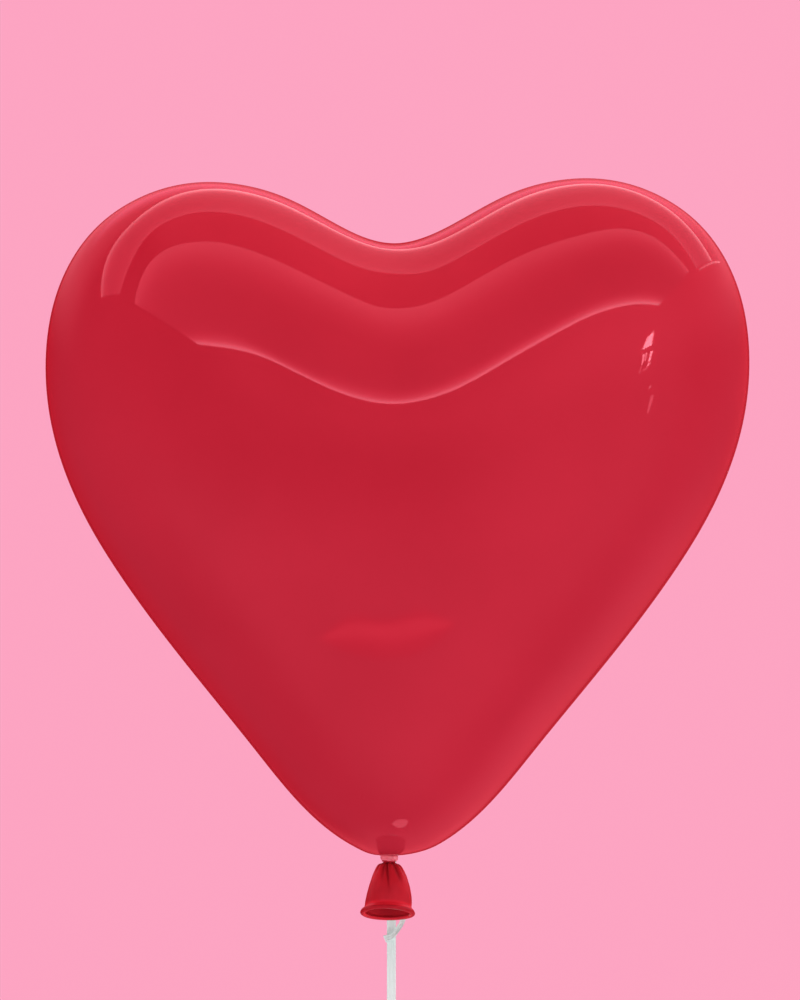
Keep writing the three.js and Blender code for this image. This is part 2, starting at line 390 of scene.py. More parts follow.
def smooth_closed(points: Rows, count: int) -> Rows:
    """Samples the closed curve through some points whose bend changes without a step.

    Args:
        points: the points, one row each, without the first repeated at the end.
        count: how many samples to take.

    Returns:
        The samples, evenly spaced in chord length, starting at the first point.
    """
    n = len(points)
    steps = np.linalg.norm(np.roll(points, -1, axis=0) - points, axis=1)
    slopes = (np.roll(points, -1, axis=0) - points) / steps[:, None]
    system = np.zeros((n, n))
    for i in range(n):
        system[i, i - 1] += steps[i - 1]
        system[i, i] += 2 * (steps[i - 1] + steps[i])
        system[i, (i + 1) % n] += steps[i]
    bends = np.linalg.solve(system, 6 * (slopes - np.roll(slopes, 1, axis=0)))
    knots = np.concatenate([[0.0], np.cumsum(steps)])
    places = np.linspace(0.0, knots[-1], count, endpoint=False)
    index = np.minimum(np.searchsorted(knots, places, side="right") - 1, n - 1)
    step = steps[index][:, None]
    after = (places - knots[index])[:, None]
    before = step - after
    start, end = points[index], points[(index + 1) % n]
    bend_start, bend_end = bends[index], bends[(index + 1) % n]
    straight = (start * before + end * after) / step
    bow = (before**3 / step - before * step) * bend_start + (after**3 / step - after * step) * bend_end
    return straight + bow / 6


def evenly_spaced(points: Rows, count: int) -> Rows:
    """Spaces points evenly along a line that is drawn through closely set points.

    Args:
        points: the line's points, one row each.
        count: how many points to take, ends included.

    Returns:
        The new points.
    """
    lengths = np.concatenate([[0.0], np.cumsum(np.linalg.norm(np.diff(points, axis=0), axis=1))])
    wanted = np.linspace(0.0, lengths[-1], count)
    return np.stack([np.interp(wanted, lengths, column) for column in points.T], axis=1)


def smooth_open(points: Rows, count: int) -> Rows:
    """Samples an open curve through some points, as a closed one that runs back on itself.

    Args:
        points: the points, one row each.
        count: how many samples to take, ends included.

    Returns:
        The samples, evenly spaced along the curve.
    """
    there_and_back = np.concatenate([points, points[-2:0:-1]])
    fine = smooth_closed(there_and_back, FINE_STEPS * len(there_and_back))
    fine = fine[: len(fine) // 2 + 1]
    fine[-1] = points[-1]
    return evenly_spaced(fine, count)


def mesh_piece(name: str, vertices: Rows, faces: Faces, material: Material) -> Piece:
    """Makes a smooth-shaded mesh object.

    Args:
        name: the piece's name.
        vertices: the corners in millimetres, one row each.
        faces: corner numbers of each face.
        material: the finish.

    Returns:
        The new object, linked to the scene.
    """
    mesh = bpy.data.meshes.new(name)
    mesh.from_pydata((vertices * MM).tolist(), [], faces)
    mesh.validate()
    mesh.polygons.foreach_set("use_smooth", [True] * len(mesh.polygons))
    mesh.materials.append(material)
    piece = bpy.data.objects.new(name, mesh)
    bpy.context.scene.collection.objects.link(piece)
    return piece


def paint(piece: Piece, name: str, levels: Rows) -> None:
    """Gives each corner of a piece a level that its material reads by name."""
    layer = piece.data.attributes.new(name, "FLOAT", "POINT")
    layer.data.foreach_set("value", levels)


def grid_faces(rows: int, columns: int, rows_close: bool = False, columns_close: bool = True) -> Faces:
    """Quads between rows of vertices, which may close on themselves either way.

    Args:
        rows: how many rows there are.
        columns: how many vertices a row has.
        rows_close: whether the last row joins the first.
        columns_close: whether each row is a ring.

    Returns:
        The faces.
    """
    faces = []
    for i in range(rows if rows_close else rows - 1):
        low, high = i * columns, (i + 1) % rows * columns
        for j in range(columns if columns_close else columns - 1):
            k = (j + 1) % columns
            faces.append((low + j, low + k, high + k, high + j))
    return faces


def circle(count: int, turns: float = 1.0) -> Rows:
    """Evenly spaced angles round some whole turns, from 0 and without the last."""
    return np.linspace(0.0, turns * FULL_TURN, count, endpoint=False)


def swept_piece(
    name: str, path: Rows, sections: list[Rows], first_side: Point, material: Material
) -> Piece:
    """A closed piece whose sections stand square on a path without twisting about it.

    Args:
        name: the piece's name.
        path: the points that it follows, in millimetres.
        sections: for each point, the section's corners as side, rise and lead offsets.
        first_side: roughly where the section's side direction points at the start.
        material: the finish.

    Returns:
        The new object.
    """
    tangents = np.gradient(path, axis=0)
    tangents /= np.linalg.norm(tangents, axis=1)[:, None]
    side = np.array(first_side, dtype=float)
    rows = []
    for point, tangent, section in zip(path, tangents, sections):
        side = side - tangent * side.dot(tangent)
        side /= np.linalg.norm(side)
        rise = np.cross(tangent, side)
        rows.append(point + section @ np.stack([side, rise, tangent]))
    sides = len(sections[0])
    faces = grid_faces(len(path), sides)
    faces.append(tuple(reversed(range(sides))))
    last = (len(path) - 1) * sides
    faces.append(tuple(last + j for j in range(sides)))
    return mesh_piece(name, np.concatenate(rows), faces, material)


def revolved(profile: Rows, sides: int) -> Rows:
    """Rings of points round the upright axis, one for each radius and height of a profile."""
    turn = circle(sides)
    rings = [np.stack([r * np.cos(turn), r * np.sin(turn), np.full(sides, h)], axis=1) for r, h in profile]
    return np.concatenate(rings)


# The balloon


@dataclass
class HeartSkin:
    """The blown-up heart: a body of revolution, flattened, with its top drawn up in two lobes.

    The outline gives shares of half the width and of the cleft's height, from the tip round
    the right lobe to the cleft. The neck's flare gives what is added to the neck's radius at
    heights from the tip, and the body proper starts where it is wide enough for the neck.
    """

    width: float = 390.0
    depth: float = 206.0
    cleft_height: float = 339.9
    lobe_lift: float = 0.756
    cleft_radius: float = 25.3
    cleft_shift: float = -2.1
    lobe_grip: float = 2.2
    round_reach: float = 120.0
    tip_shift: float = 2.8
    lean: float = 0.0065
    lobe_tilt: float = -0.0035
    bottom: float = 1.65
    neck_radius: float = 4.0
    neck_bottom: float = -1.6
    neck_flare: Pairs = ((0.0, -1.9), (0.0, -1.0), (0.12, -0.45), (0.5, -0.05), (1.2, 0.16))
    flare_out: float = 2.6
    flare_up: float = 0.34
    flare_share: float = 0.1
    body_from: float = 2.2
    shift_from: float = 5.0
    shift_to: float = 24.0
    sides: int = 288
    rows: int = 180
    fine_rows: int = 4320
    outline: Pairs = (
        (0.068, 0.0045), (0.143, 0.0243), (0.242, 0.069), (0.404, 0.1745),
        (0.608, 0.306), (0.794, 0.422), (0.932, 0.5245), (0.99, 0.601),
        (1.001, 0.66), (0.982, 0.7175), (0.898, 0.797), (0.762, 0.866),
        (0.6, 0.924), (0.45, 0.9636), (0.292, 0.99), (0.132, 0.997),
    )

    def profile(self) -> Rows:
        """Radius and height of the body before it is shaped, from the neck to the cleft.

        Returns:
            One row each of radius and height above the lowest point of the skin.
        """
        tip, cleft = (0.0, 0.0), (0.0, self.cleft_height)
        right = np.array(self.outline) * (self.width / 2, self.cleft_height)
        loop = np.vstack([tip, right, cleft, right[::-1] * (-1.0, 1.0)])
        half = smooth_closed(loop, self.fine_rows)[: self.fine_rows // 2 + 1]
        body = half[half[:, 0] > self.body_from * self.neck_radius]
        body = evenly_spaced(np.vstack([body, cleft]), self.rows)
        neck = [(self.neck_radius, self.neck_bottom - self.bottom)]
        neck += [(self.neck_radius + out, height) for out, height in self.neck_flare]
        neck.append((self.neck_radius + self.flare_out, self.flare_up + self.flare_share * body[0, 1]))
        return np.vstack([neck, body])

    def shaped(self, points: Rows) -> Rows:
        """Turns points of the body of revolution into points of the heart.

        Args:
            points: x, y and height, one row each.

        Returns:
            The points in the row frame, in millimetres.
        """
        x, y, height = points.T
        radius = np.hypot(x, y)
        up = np.maximum(height, 0.0)
        flat = self.depth / self.width
        roundness = np.exp(-((up / self.round_reach) ** 2))
        bottom = math.hypot(self.cleft_shift, self.cleft_radius)
        climb = self.lobe_lift * (np.hypot(x - self.cleft_shift, self.cleft_radius) - bottom)
        share = (up / self.cleft_height) ** self.lobe_grip
        z = height + climb * share
        ease = np.clip((radius - self.shift_from) / (self.shift_to - self.shift_from), 0.0, 1.0)
        shift = np.where(up > self.shift_to, 1.0, ease * ease * (3 - 2 * ease)) * self.tip_shift
        side = x + shift + self.lean * z
        back = y * (flat + (1 - flat) * roundness)
        return np.stack([side, back, z + self.lobe_tilt * x * share + self.bottom], axis=1)

    def build(self, finish: DippedLatex) -> Piece:
        """Makes the skin and puts it in the place of its solid.

        Args:
            finish: the latex.

        Returns:
            The piece.
        """
        profile = self.profile()
        rings = revolved(profile[:-1], self.sides)
        faces = grid_faces(len(profile) - 1, self.sides)
        last, pole = len(rings) - self.sides, len(rings)
        faces += [(last + j, last + (j + 1) % self.sides, pole) for j in range(self.sides)]
        vertices = self.shaped(np.vstack([rings, (0.0, 0.0, profile[-1, 1])]))
        piece = mesh_piece("heart_film", vertices, faces, finish.make())
        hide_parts("heart_skin")
        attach(piece, Body.BALLOON.value)
        return piece


@dataclass
class Crease:
    """One fold that the tie squeezes into the tail.

    It lies at an angle in degrees from the front, slants by some degrees per millimetre and
    cuts to a depth from one distance below the tie to another, some degrees wide.
    """

    angle: float
    slant: float
    depth: float
    start: float
    end: float
    width: float


@dataclass
class Tail:
    """The loose skirt below the tie and the flared, rolled rim of its mouth, as one skin.

    The outline gives radius and distance below the tie, down the outside, round the rolled
    lip and up the inside. The wobble and the wave give a depth, a number of lobes and a phase.
    The shades give a distance below the tie and a level there from 0, painted light, to 1,
    the deepest painted shade.
    """

    top: float = -1.65
    tilt: float = math.radians(17.5)
    lean: float = math.radians(1.6)
    bend_length: float = 12.0
    sway: float = 0.5
    sway_length: float = 28.0
    sides: int = 288
    rows: int = 170
    outline: Pairs = (
        (3.3, -0.5), (3.4, 0.2), (3.7, 0.7), (4.4, 1.0), (5.4, 1.25),
        (6.2, 1.65), (7.2, 2.75), (8.1, 4.45), (8.85, 6.2), (9.5, 7.8),
        (10.05, 9.6), (10.55, 11.3), (11.05, 12.9), (11.5, 14.6), (11.9, 16.4),
        (12.25, 18.0), (12.55, 19.8), (12.8, 21.5), (12.95, 23.1), (13.0, 25.1),
        (13.15, 25.9), (13.6, 26.6), (14.35, 27.25), (14.75, 27.8), (14.8, 28.05),
        (15.05, 28.35), (15.2, 28.8), (15.1, 29.3), (14.65, 29.75), (13.8, 29.95),
        (13.0, 29.85), (12.4, 29.5), (12.15, 28.95), (12.3, 28.4), (12.7, 28.0),
        (12.9, 27.4), (12.85, 26.7), (12.7, 25.6), (12.4, 23.8), (11.6, 18.0),
        (10.4, 12.5), (8.4, 8.0), (5.4, 4.6), (2.2, 3.0), (0.3, 2.6),
    )
    creases: tuple[Crease, ...] = (
        Crease(-11.0, 0.55, 1.25, -0.3, 25.0, 4.5),
        Crease(-24.0, 0.1, 0.95, -0.3, 16.0, 7.5),
        Crease(28.0, 0.4, 1.3, -0.3, 17.0, 9.5),
        Crease(4.0, 0.0, 0.3, -0.2, 7.0, 4.0),
        Crease(-60.0, 0.8, 0.8, -0.2, 10.0, 7.0),
        Crease(62.0, -0.5, 0.8, -0.2, 12.0, 7.0),
        Crease(92.0, 0.3, 1.0, -0.2, 13.0, 8.0),
        Crease(-97.0, 0.6, 1.0, -0.2, 12.0, 9.0),
        Crease(121.0, 0.4, 1.0, -0.2, 14.0, 9.0),
        Crease(-133.0, -0.4, 1.1, -0.2, 16.0, 9.0),
        Crease(153.0, 0.5, 0.9, -0.2, 12.0, 9.0),
        Crease(-168.0, 0.3, 1.0, -0.2, 14.0, 8.0),
    )
    crease_start_width: float = 1.3
    crease_narrowing: float = 0.8
    full_crease_radius: float = 6.0
    narrowest: float = 0.25
    loose_start: float = 20.0
    loose_length: float = 8.0
    wobble: Points = ((0.1, 3, 0.8), (0.05, 7, 0.0))
    wave: Point = (0.15, 2, -0.5)
    # Painted light near the tie and above the lip, the latex's own red in between, painted shade on the lip
    # and deeper inside the mouth; crease_shade paints shade into the creases.
    outer_shades: Pairs = ((6.0, 0.0), (19.0, 0.35), (24.0, 0.35), (25.5, 0.0), (28.0, 0.0), (28.01, 0.62))
    inner_shades: Pairs = ((24.0, 0.37), (28.0, 0.12))
    crease_shade: float = 0.72

    def fold(self, turn: Rows, along: float) -> Rows:
        """How deep the creases cut at one distance below the tie.

        Args:
            turn: angles about the tail in radians, 0 facing the viewer.
            along: distance below the tie.

        Returns:
            The depth in millimetres at each angle.
        """
        depth = np.zeros_like(turn)
        for crease in self.creases:
            share = (along - crease.start) / (crease.end - crease.start)
            if not 0 < share < 1:
                continue
            fade = (1 - share) ** 2 * (1 + 2 * share)
            middle = math.radians(crease.angle + crease.slant * along)
            away = (turn - middle + math.pi) % FULL_TURN - math.pi
            width = math.radians(crease.width * (self.crease_start_width - self.crease_narrowing * share))
            depth += crease.depth * fade * np.exp(-((away / width) ** 2))
        return depth

    def bent(self, x: Rows, y: Rows, along: Rows) -> Rows:
        """Bends the straight tail along an arc and then a straight line.

        Args:
            x: sideways offsets from the tail's centre line.
            y: offsets towards the back.
            along: distances below the neck stub.

        Returns:
            The points in the row frame, in millimetres.
        """
        share = np.clip(along / self.bend_length, 0.0, 1.0)
        angle = self.tilt * share
        arc = self.bend_length / self.tilt
        straight = along - self.bend_length * share
        back = -arc * (1 - np.cos(angle)) - straight * np.sin(angle) + y * np.cos(angle)
        drop = arc * np.sin(angle) + straight * np.cos(angle) + y * np.sin(angle)
        swayed = self.sway * np.sin(math.pi * np.clip(along / self.sway_length, 0.0, 1.0))
        side = x * math.cos(self.lean) - drop * math.sin(self.lean) + swayed
        height = self.top - drop * math.cos(self.lean) - x * math.sin(self.lean)
        return np.stack([side, back, height], axis=1)

    def build(self, finish: GatheredLatex) -> Piece:
        """Makes the tail and puts it in the place of its solids.

        Args:
            finish: the unstretched latex.

        Returns:
            The piece.
        """
        profile = smooth_open(np.array(self.outline), self.rows)
        turn = np.linspace(-math.pi, math.pi, self.sides, endpoint=False)
        wobble = sum(depth * np.sin(lobes * turn + phase) for depth, lobes, phase in self.wobble)
        depth, lobes, phase = self.wave
        wave = np.sin(lobes * turn + phase)
        lowest = int(np.argmax(profile[:, 1]))
        rings, shades = [], []
        for i, (radius, along) in enumerate(profile):
            fold = self.fold(turn, along)
            loose = np.clip((along - self.loose_start) / self.loose_length, 0.0, 1.0)
            local = radius - fold * min(radius / self.full_crease_radius, 1.0) + loose * wobble
            local = np.maximum(local, self.narrowest)
            drop = along + loose * depth * wave
            rings.append(self.bent(local * np.sin(turn), -local * np.cos(turn), drop))
            # Painted light and shade by distance below the tie, plus painted shade in the creases.
            places, levels = zip(*(self.inner_shades if i > lowest else self.outer_shades))
            shades.append(np.interp(along, places, levels) + self.crease_shade * fold)
        faces = grid_faces(len(rings), self.sides)
        last = (len(rings) - 1) * self.sides
        faces.append(tuple(last + j for j in range(self.sides)))
        piece = mesh_piece("tail_and_rim", np.concatenate(rings), faces, finish.make())
        # The fold attribute carries this painted light and shade to the material.
        paint(piece, "fold", np.concatenate(shades))
        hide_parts("tail_skirt", "rolled_rim")
        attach(piece, Body.TAIL.value)
        return piece


# The ribbon

RIBBON_WIDTH = 5.0
RIBBON_THICKNESS = 0.22
RIBBON_RIBS = 5
RIB_CORNERS = 8
RIB_HEIGHT = 0.25


def flat_section(width: float, cup: float, ribs: int = RIBBON_RIBS, lead: float = 0.0) -> Rows:
    """Section of a ribbon with fine ribs along it, cupped across its width.

    Args:
        width: across the ribbon.
        cup: how far its edges stand above its middle.
        ribs: how many ribs it has.
        lead: how far one edge runs ahead of the other, for a slanting cut.

    Returns:
        Side, rise and lead offsets, one row each, closed round.
    """
    share = np.linspace(-1.0, 1.0, RIB_CORNERS * ribs + 1)
    rise = cup * share**2 - cup / 3
    rise += RIB_HEIGHT * RIBBON_THICKNESS * np.cos(share * math.pi * ribs)
    side = share * width / 2
    edge = lead * share
    upper = np.stack([side, rise + RIBBON_THICKNESS / 2, edge], axis=1)
    lower = np.stack([side, rise - RIBBON_THICKNESS / 2, edge], axis=1)
    return np.concatenate([upper, lower[::-1]])


@dataclass
class RibbonRun:
    """The run of ribbon that leans on the tail and hangs plumb, out of the photograph."""

    width: float = RIBBON_WIDTH
    cup: float = 0.12
    samples: int = 120
    route: Points = (
        (1.2, 8.04, 1.0), (1.2, 8.04, -1.0), (1.2, 9.06, -3.6), (1.2, 9.78, -7.0),
        (1.2, 9.78, -12.0), (1.2, 9.78, -22.0), (1.2, 9.78, -34.0), (1.2, 9.78, -46.0),
        (1.2, 9.78, -58.0), (1.2, 9.78, -71.0), (1.2, 9.78, -84.0),
    )

    def build(self, material: Material, with_pieces: list[Piece]) -> Piece:
        """Args:
            material: the ribbon's finish.
            with_pieces: the knot and loop on its far end; not used.

        Returns:
            The piece.
        """
        path = smooth_open(np.array(self.route), self.samples)
        sections = [flat_section(self.width, self.cup)] * len(path)
        piece = swept_piece("ribbon_run_film", path, sections, (1.0, 0.0, 0.0), material)
        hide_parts("ribbon_run")
        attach(piece, Body.RIBBON.value)
        return piece


@dataclass
class ShortEnd:
    """The free end: it passes behind the rim, crosses the run and opens out flat at its cut.

    It opens, and its cut slants, over a number of samples before its end.
    """

    width: float = 2.8
    open_width: float = 4.3
    cup: float = 0.35
    ribs: int = 3
    samples: int = 90
    open_samples: int = 13
    cut: float = -0.2
    cut_samples: int = 6
    route: Points = (
        (1.2, 8.74, 0.4), (1.6, 8.84, -1.4), (3.0, 10.38, -4.6), (5.4, 10.58, -9.0),
        (8.0, 10.38, -16.0), (9.0, 10.08, -24.0), (8.5, 9.78, -31.5), (6.6, 9.28, -37.0),
        (3.6, 8.38, -41.4), (0.4, 8.08, -44.2), (-2.6, 8.48, -45.4),
    )

    def build(self, material: Material) -> Piece:
        """Args:
            material: the ribbon's finish.

        Returns:
            The piece.
        """
        path = smooth_open(np.array(self.route), self.samples)
        sections = []
        for left in reversed(range(len(path))):
            opened = max(0.0, 1 - left / self.open_samples)
            width = self.width + (self.open_width - self.width) * opened
            lead = self.cut * max(0.0, 1 - left / self.cut_samples)
            sections.append(flat_section(width, self.cup * (1 - opened), self.ribs, lead))
        piece = swept_piece("ribbon_short_end_film", path, sections, (1.0, 0.0, 0.2), material)
        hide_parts("ribbon_short_end")
        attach(piece, Body.RIBBON.value)
        return piece


@dataclass
class NeckWinding:
    """The ribbon, bunched and drawn tight, wound twice round the neck.

    Each pleat gives a depth, a number round the strand and its drift along it in radians.
    """

    turns: float = 2.0
    pitch: float = 1.05
    top_radius: float = 4.64
    bottom_radius: float = 4.52
    lift: float = 0.35
    strand_depth: float = 0.56
    strand_height: float = 1.7
    end_height: float = 0.55
    end_share: float = 0.2
    pleats: Points = ((0.07, 5, 40.0), (0.05, 3, -90.0))
    steps: int = 300
    corners: int = 18

    def build(self, material: Material) -> Piece:
        """Makes the winding and puts it in the place of its solid.

        Args:
            material: the thin film over the red neck.

        Returns:
            The piece.
        """
        share = np.linspace(0.0, 1.0, self.steps)
        angle = share * self.turns * FULL_TURN + math.pi / 2
        radius = self.top_radius + (self.bottom_radius - self.top_radius) * share
        height = self.turns * self.pitch * (0.5 - share) + self.lift
        path = np.stack([radius * np.cos(angle), radius * np.sin(angle), height], axis=1)
        corner = circle(self.corners)
        sections = []
        for s in share:
            pleat = 1 + sum(deep * np.cos(count * corner + drift * s) for deep, count, drift in self.pleats)
            opened = self.end_height + (1 - self.end_height) * min(min(s, 1 - s) / self.end_share, 1.0)
            side = self.strand_depth / 2 * np.cos(corner) * pleat
            rise = self.strand_height / 2 * opened * np.sin(corner) * pleat
            sections.append(np.stack([side, rise, np.zeros_like(side)], axis=1))
        piece = swept_piece("neck_wraps", path, sections, (0.0, 1.0, 0.0), material)
        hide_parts("neck_winding")
        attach(piece, Body.BALLOON.value)
        return piece


@dataclass
class OverhandKnot:
    """An overhand knot, drawn tight: three lobes of bunched ribbon that pass over and under.

    The strand is half the ribbon's bunched width, and its breadth and height are shares of it.
    """

    name: str
    node: str
    body: Body
    centre: Point
    radius: float
    strand: float
    lobes: int = 3
    breadth: float = 1.12
    height: float = 0.9
    pleat_depth: float = 0.09
    pleats: int = 4
    steps: int = 220
    corners: int = 16

    def build(self, material: Material) -> Piece:
        """Makes the knot and puts it in the place of its solid.

        Args:
            material: the ribbon's finish.

        Returns:
            The piece.
        """
        angle = circle(self.steps, 2)
        around = self.lobes / 2 * angle
        reach = self.radius * (2 + np.cos(around)) * 0.5
        depth = self.radius * 0.5 * np.sin(around)
        path = np.stack([reach * np.cos(angle), depth, reach * np.sin(angle)], axis=1)
        tangent = np.roll(path, -1, axis=0) - np.roll(path, 1, axis=0)
        tangent /= np.linalg.norm(tangent, axis=1)[:, None]
        spoke = path * (1.0, 0.0, 1.0)
        side = spoke - tangent * np.sum(spoke * tangent, axis=1)[:, None]
        side /= np.linalg.norm(side, axis=1)[:, None]
        rise = np.cross(tangent, side)
        corner = circle(self.corners)
        rings = []
        for i in range(self.steps):
            pleat = 1 + self.pleat_depth * np.cos(self.pleats * corner + self.lobes * angle[i])
            across = self.strand * self.breadth * np.cos(corner)[:, None] * side[i]
            over = self.strand * self.height * np.sin(corner)[:, None] * rise[i]
            rings.append(path[i] + (across + over) * pleat[:, None])
        faces = grid_faces(self.steps, self.corners, rows_close=True)
        piece = mesh_piece(self.name, np.concatenate(rings) + self.centre, faces, material)
        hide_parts(self.node)
        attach(piece, self.body.value)
        return piece


NECK_KNOT = OverhandKnot("neck_knot_film", "neck_knot", Body.KNOT, (1.2, 6.37, 0.0), 1.5, 0.42)
END_KNOT = OverhandKnot("end_knot_film", "end_knot", Body.RIBBON, (1.2, 9.78, -88.5), 2.4, 0.6)


@dataclass
class HandLoop:
    """The loop below the end knot, that the balloon is held or hung by.

    Its outline gives shares of half its width and of its length, down its right side.
    """

    centre: Pair = (1.2, 9.78)
    top: float = -92.7
    length: float = 28.0
    half_width: float = 7.0
    apart: float = 0.7
    cup: float = 0.15
    samples: int = 110
    outline: Pairs = ((0.6, 0.3), (1.0, 0.65), (0.6, 0.93), (0.0, 1.0))

    def build(self, material: Material) -> Piece:
        """Makes the loop and puts it in the place of its solid.

        Args:
            material: the ribbon's finish.

        Returns:
            The piece.
        """
        shape = [(self.apart, 0.0)]
        shape += [(share * self.half_width, drop) for share, drop in self.outline]
        shape += [(-x, drop) for x, drop in reversed(shape[:-1])]
        x, y = self.centre
        points = [(x + side, y, self.top - self.length * drop) for side, drop in shape]
        path = smooth_open(np.array(points), self.samples)
        sections = [flat_section(RIBBON_WIDTH, self.cup)] * len(path)
        piece = swept_piece("hand_loop_film", path, sections, (0.0, 1.0, 0.0), material)
        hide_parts("hand_loop")
        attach(piece, Body.RIBBON.value)
        return piece


# The studio


@dataclass(frozen=True)
class LightPanel:
    """A panel of diffusion cloth on a frame, brighter along some of its edges.

    Its two edges run from left to right through matching points, in metres, and the glow
    lists shares of the way from the first edge to the second with the cloth's radiance.
    """

    name: str
    first: Points
    second: Points
    glow: Pairs
    rows: int = 48
    columns: int = 60

    def build(self, cloth: Material) -> None:
        """Makes the panel, which the camera doesn't see.

        Args:
            cloth: its finish.
        """
        first = smooth_open(np.array(self.first), self.columns)
        second = smooth_open(np.array(self.second), self.columns)
        shares = np.linspace(0.0, 1.0, self.rows)
        places, levels = zip(*self.glow)
        vertices = np.concatenate([first * (1 - share) + second * share for share in shares])
        faces = grid_faces(self.rows, self.columns, columns_close=False)
        panel = mesh_piece(self.name, vertices / MM, faces, cloth)
        paint(panel, "glow", np.repeat(np.interp(shares, places, levels), self.columns))
        panel.visible_camera = False


@dataclass(frozen=True)
class FillLamp:
    """A large lamp that evens out the light and isn't mirrored, set in metres."""

    name: str
    centre: Point
    size: float
    watts: float
    aim: Point = (0.0, 0.0, 0.15)

    def build(self) -> None:
        """Makes the lamp, facing its aim."""
        light = bpy.data.lights.new(self.name, "AREA")
        light.shape = "SQUARE"
        light.size = self.size
        light.energy = self.watts
        lamp = bpy.data.objects.new(self.name, light)
        lamp.location = self.centre
        lamp.rotation_euler = (Vector(self.aim) - Vector(self.centre)).to_track_quat("-Z", "Y").to_euler()
        lamp.visible_glossy = False
        lamp.visible_camera = False
        bpy.context.scene.collection.objects.link(lamp)


def level(height: float, *plan: Pair) -> Points:
    """Points at one height, from their places in plan."""
    return tuple((x, y, height) for x, y in plan)


OVERHEAD = 1.3
FLOOR_CLOTH = -0.44
FRONT_PANEL = LightPanel(
    "front_overhead_panel",
    level(
        OVERHEAD,
        (-1.2, -1.65), (-0.91, -1.6), (-0.35, -1.59), (0.0, -1.77), (0.28, -1.53),
        (0.51, -1.33), (0.78, -1.14), (0.97, -1.06), (1.27, -0.97), (1.6, -0.9),
    ),
    level(
        OVERHEAD,
        (-1.52, -0.79), (-0.97, -0.47), (-0.49, -0.28), (-0.15, -0.25), (0.06, -0.25),
        (0.2, -0.23), (0.43, -0.14), (0.77, -0.08), (1.15, -0.09), (1.51, -0.07),
    ),
    (
        (0.0, 7.5), (0.03, 7.5), (0.07, 4.6), (0.12, 2.9), (0.2, 1.5),
        (0.3, 0.9), (0.7, 0.9), (0.85, 1.4), (1.0, 2.8),
    ),
)
REAR_PANEL = LightPanel(
    "rear_overhead_panel",
    level(
        OVERHEAD,
        (-1.6, -0.52), (-0.91, -0.2), (-0.52, 0.02), (-0.16, 0.1), (0.05, 0.12),
        (0.2, 0.13), (0.4, 0.15), (0.68, 0.17), (1.09, 0.15), (1.57, 0.14),
    ),
    level(
        OVERHEAD,
        (-2.03, -0.22), (-1.25, 0.16), (-0.66, 0.39), (-0.38, 0.64), (-0.13, 0.87),
        (0.15, 0.98), (0.44, 0.98), (0.75, 0.92), (1.2, 0.89), (1.7, 1.0),
    ),
    ((0.0, 2.2), (0.12, 1.6), (0.3, 1.3), (0.6, 1.35), (0.78, 1.8), (0.9, 3.0), (1.0, 4.0)),
)
NEAR_GLOW = LightPanel(
    "near_floor_glow",
    (
        (-0.428, -0.759, -0.386), (-0.294, -0.811, -0.399), (-0.109, -0.852, -0.404),
        (0.073, -0.86, -0.398), (0.222, -0.849, -0.377), (0.338, -0.837, -0.337),
    ),
    (
        (-0.433, -0.76, -0.38), (-0.284, -0.871, -0.313), (-0.118, -0.916, -0.3),
        (0.055, -0.926, -0.292), (0.187, -0.91, -0.29), (0.326, -0.848, -0.326),
    ),
    ((0.0, 0.8), (0.3, 1.15), (0.5, 1.75), (0.62, 2.15), (0.8, 2.15), (0.92, 1.4), (1.0, 0.8)),
    rows=32,
    columns=40,
)
FLOOR_LIGHT = LightPanel(
    "round_floor_light",
    level(
        FLOOR_CLOTH, (-0.013, 0.006), (0.005, -0.017), (0.035, -0.026), (0.065, -0.019), (0.083, 0.003)
    ),
    level(FLOOR_CLOTH, (-0.011, 0.008), (0.012, 0.035), (0.04, 0.044), (0.068, 0.034), (0.081, 0.007)),
    ((0.0, 2.2), (1.0, 2.2)),
    rows=12,
    columns=24,
)
# Name and radiance of each window pane, and its corners: low left and right, top left and right
PANES = (
    ("upper_pane", 19.0, (1.637, -1.244, 0.899), (1.717, -1.137, 0.907),
        (1.644, -1.174, 1.012), (1.686, -1.086, 1.058)),
    ("right_bar", 19.0, (1.731, -1.19, 0.75), (1.75, -1.165, 0.748),
        (1.724, -1.159, 0.843), (1.743, -1.134, 0.841)),
    ("middle_bar", 14.0, (1.697, -1.227, 0.769), (1.707, -1.215, 0.768),
        (1.686, -1.208, 0.847), (1.696, -1.196, 0.846)),
    ("left_bar", 13.0, (1.679, -1.26, 0.741), (1.689, -1.249, 0.74),
        (1.657, -1.243, 0.85), (1.677, -1.22, 0.848)),
    ("right_foot", 14.0, (1.729, -1.21, 0.705), (1.747, -1.185, 0.703),
        (1.737, -1.188, 0.734), (1.755, -1.163, 0.732)),
    ("left_foot", 5.0, (1.677, -1.288, 0.667), (1.686, -1.277, 0.666),
        (1.675, -1.271, 0.726), (1.685, -1.259, 0.725)),
    ("window_sill", 5.0, (1.701, -1.255, 0.679), (1.748, -1.194, 0.673),
        (1.705, -1.245, 0.693), (1.743, -1.196, 0.689)),
    ("low_spot", 6.5, (1.808, -1.162, 0.462), (1.813, -1.152, 0.475),
        (1.806, -1.157, 0.505), (1.827, -1.129, 0.488)),
    ("low_pane", 4.4, (1.843, -1.125, 0.247), (1.86, -1.099, 0.244),
        (1.839, -1.124, 0.4), (1.865, -1.083, 0.397)),
    ("boom", 2.6, (1.832, 0.217, 1.406), (1.453, 1.338, 1.062),
        (1.813, 0.242, 1.431), (1.393, 1.405, 1.038)),
)
WINDOWS = tuple(
    LightPanel(name, corners[:2], corners[2:], ((0.0, glow), (1.0, glow)), rows=2, columns=2)
    for name, glow, *corners in PANES
)


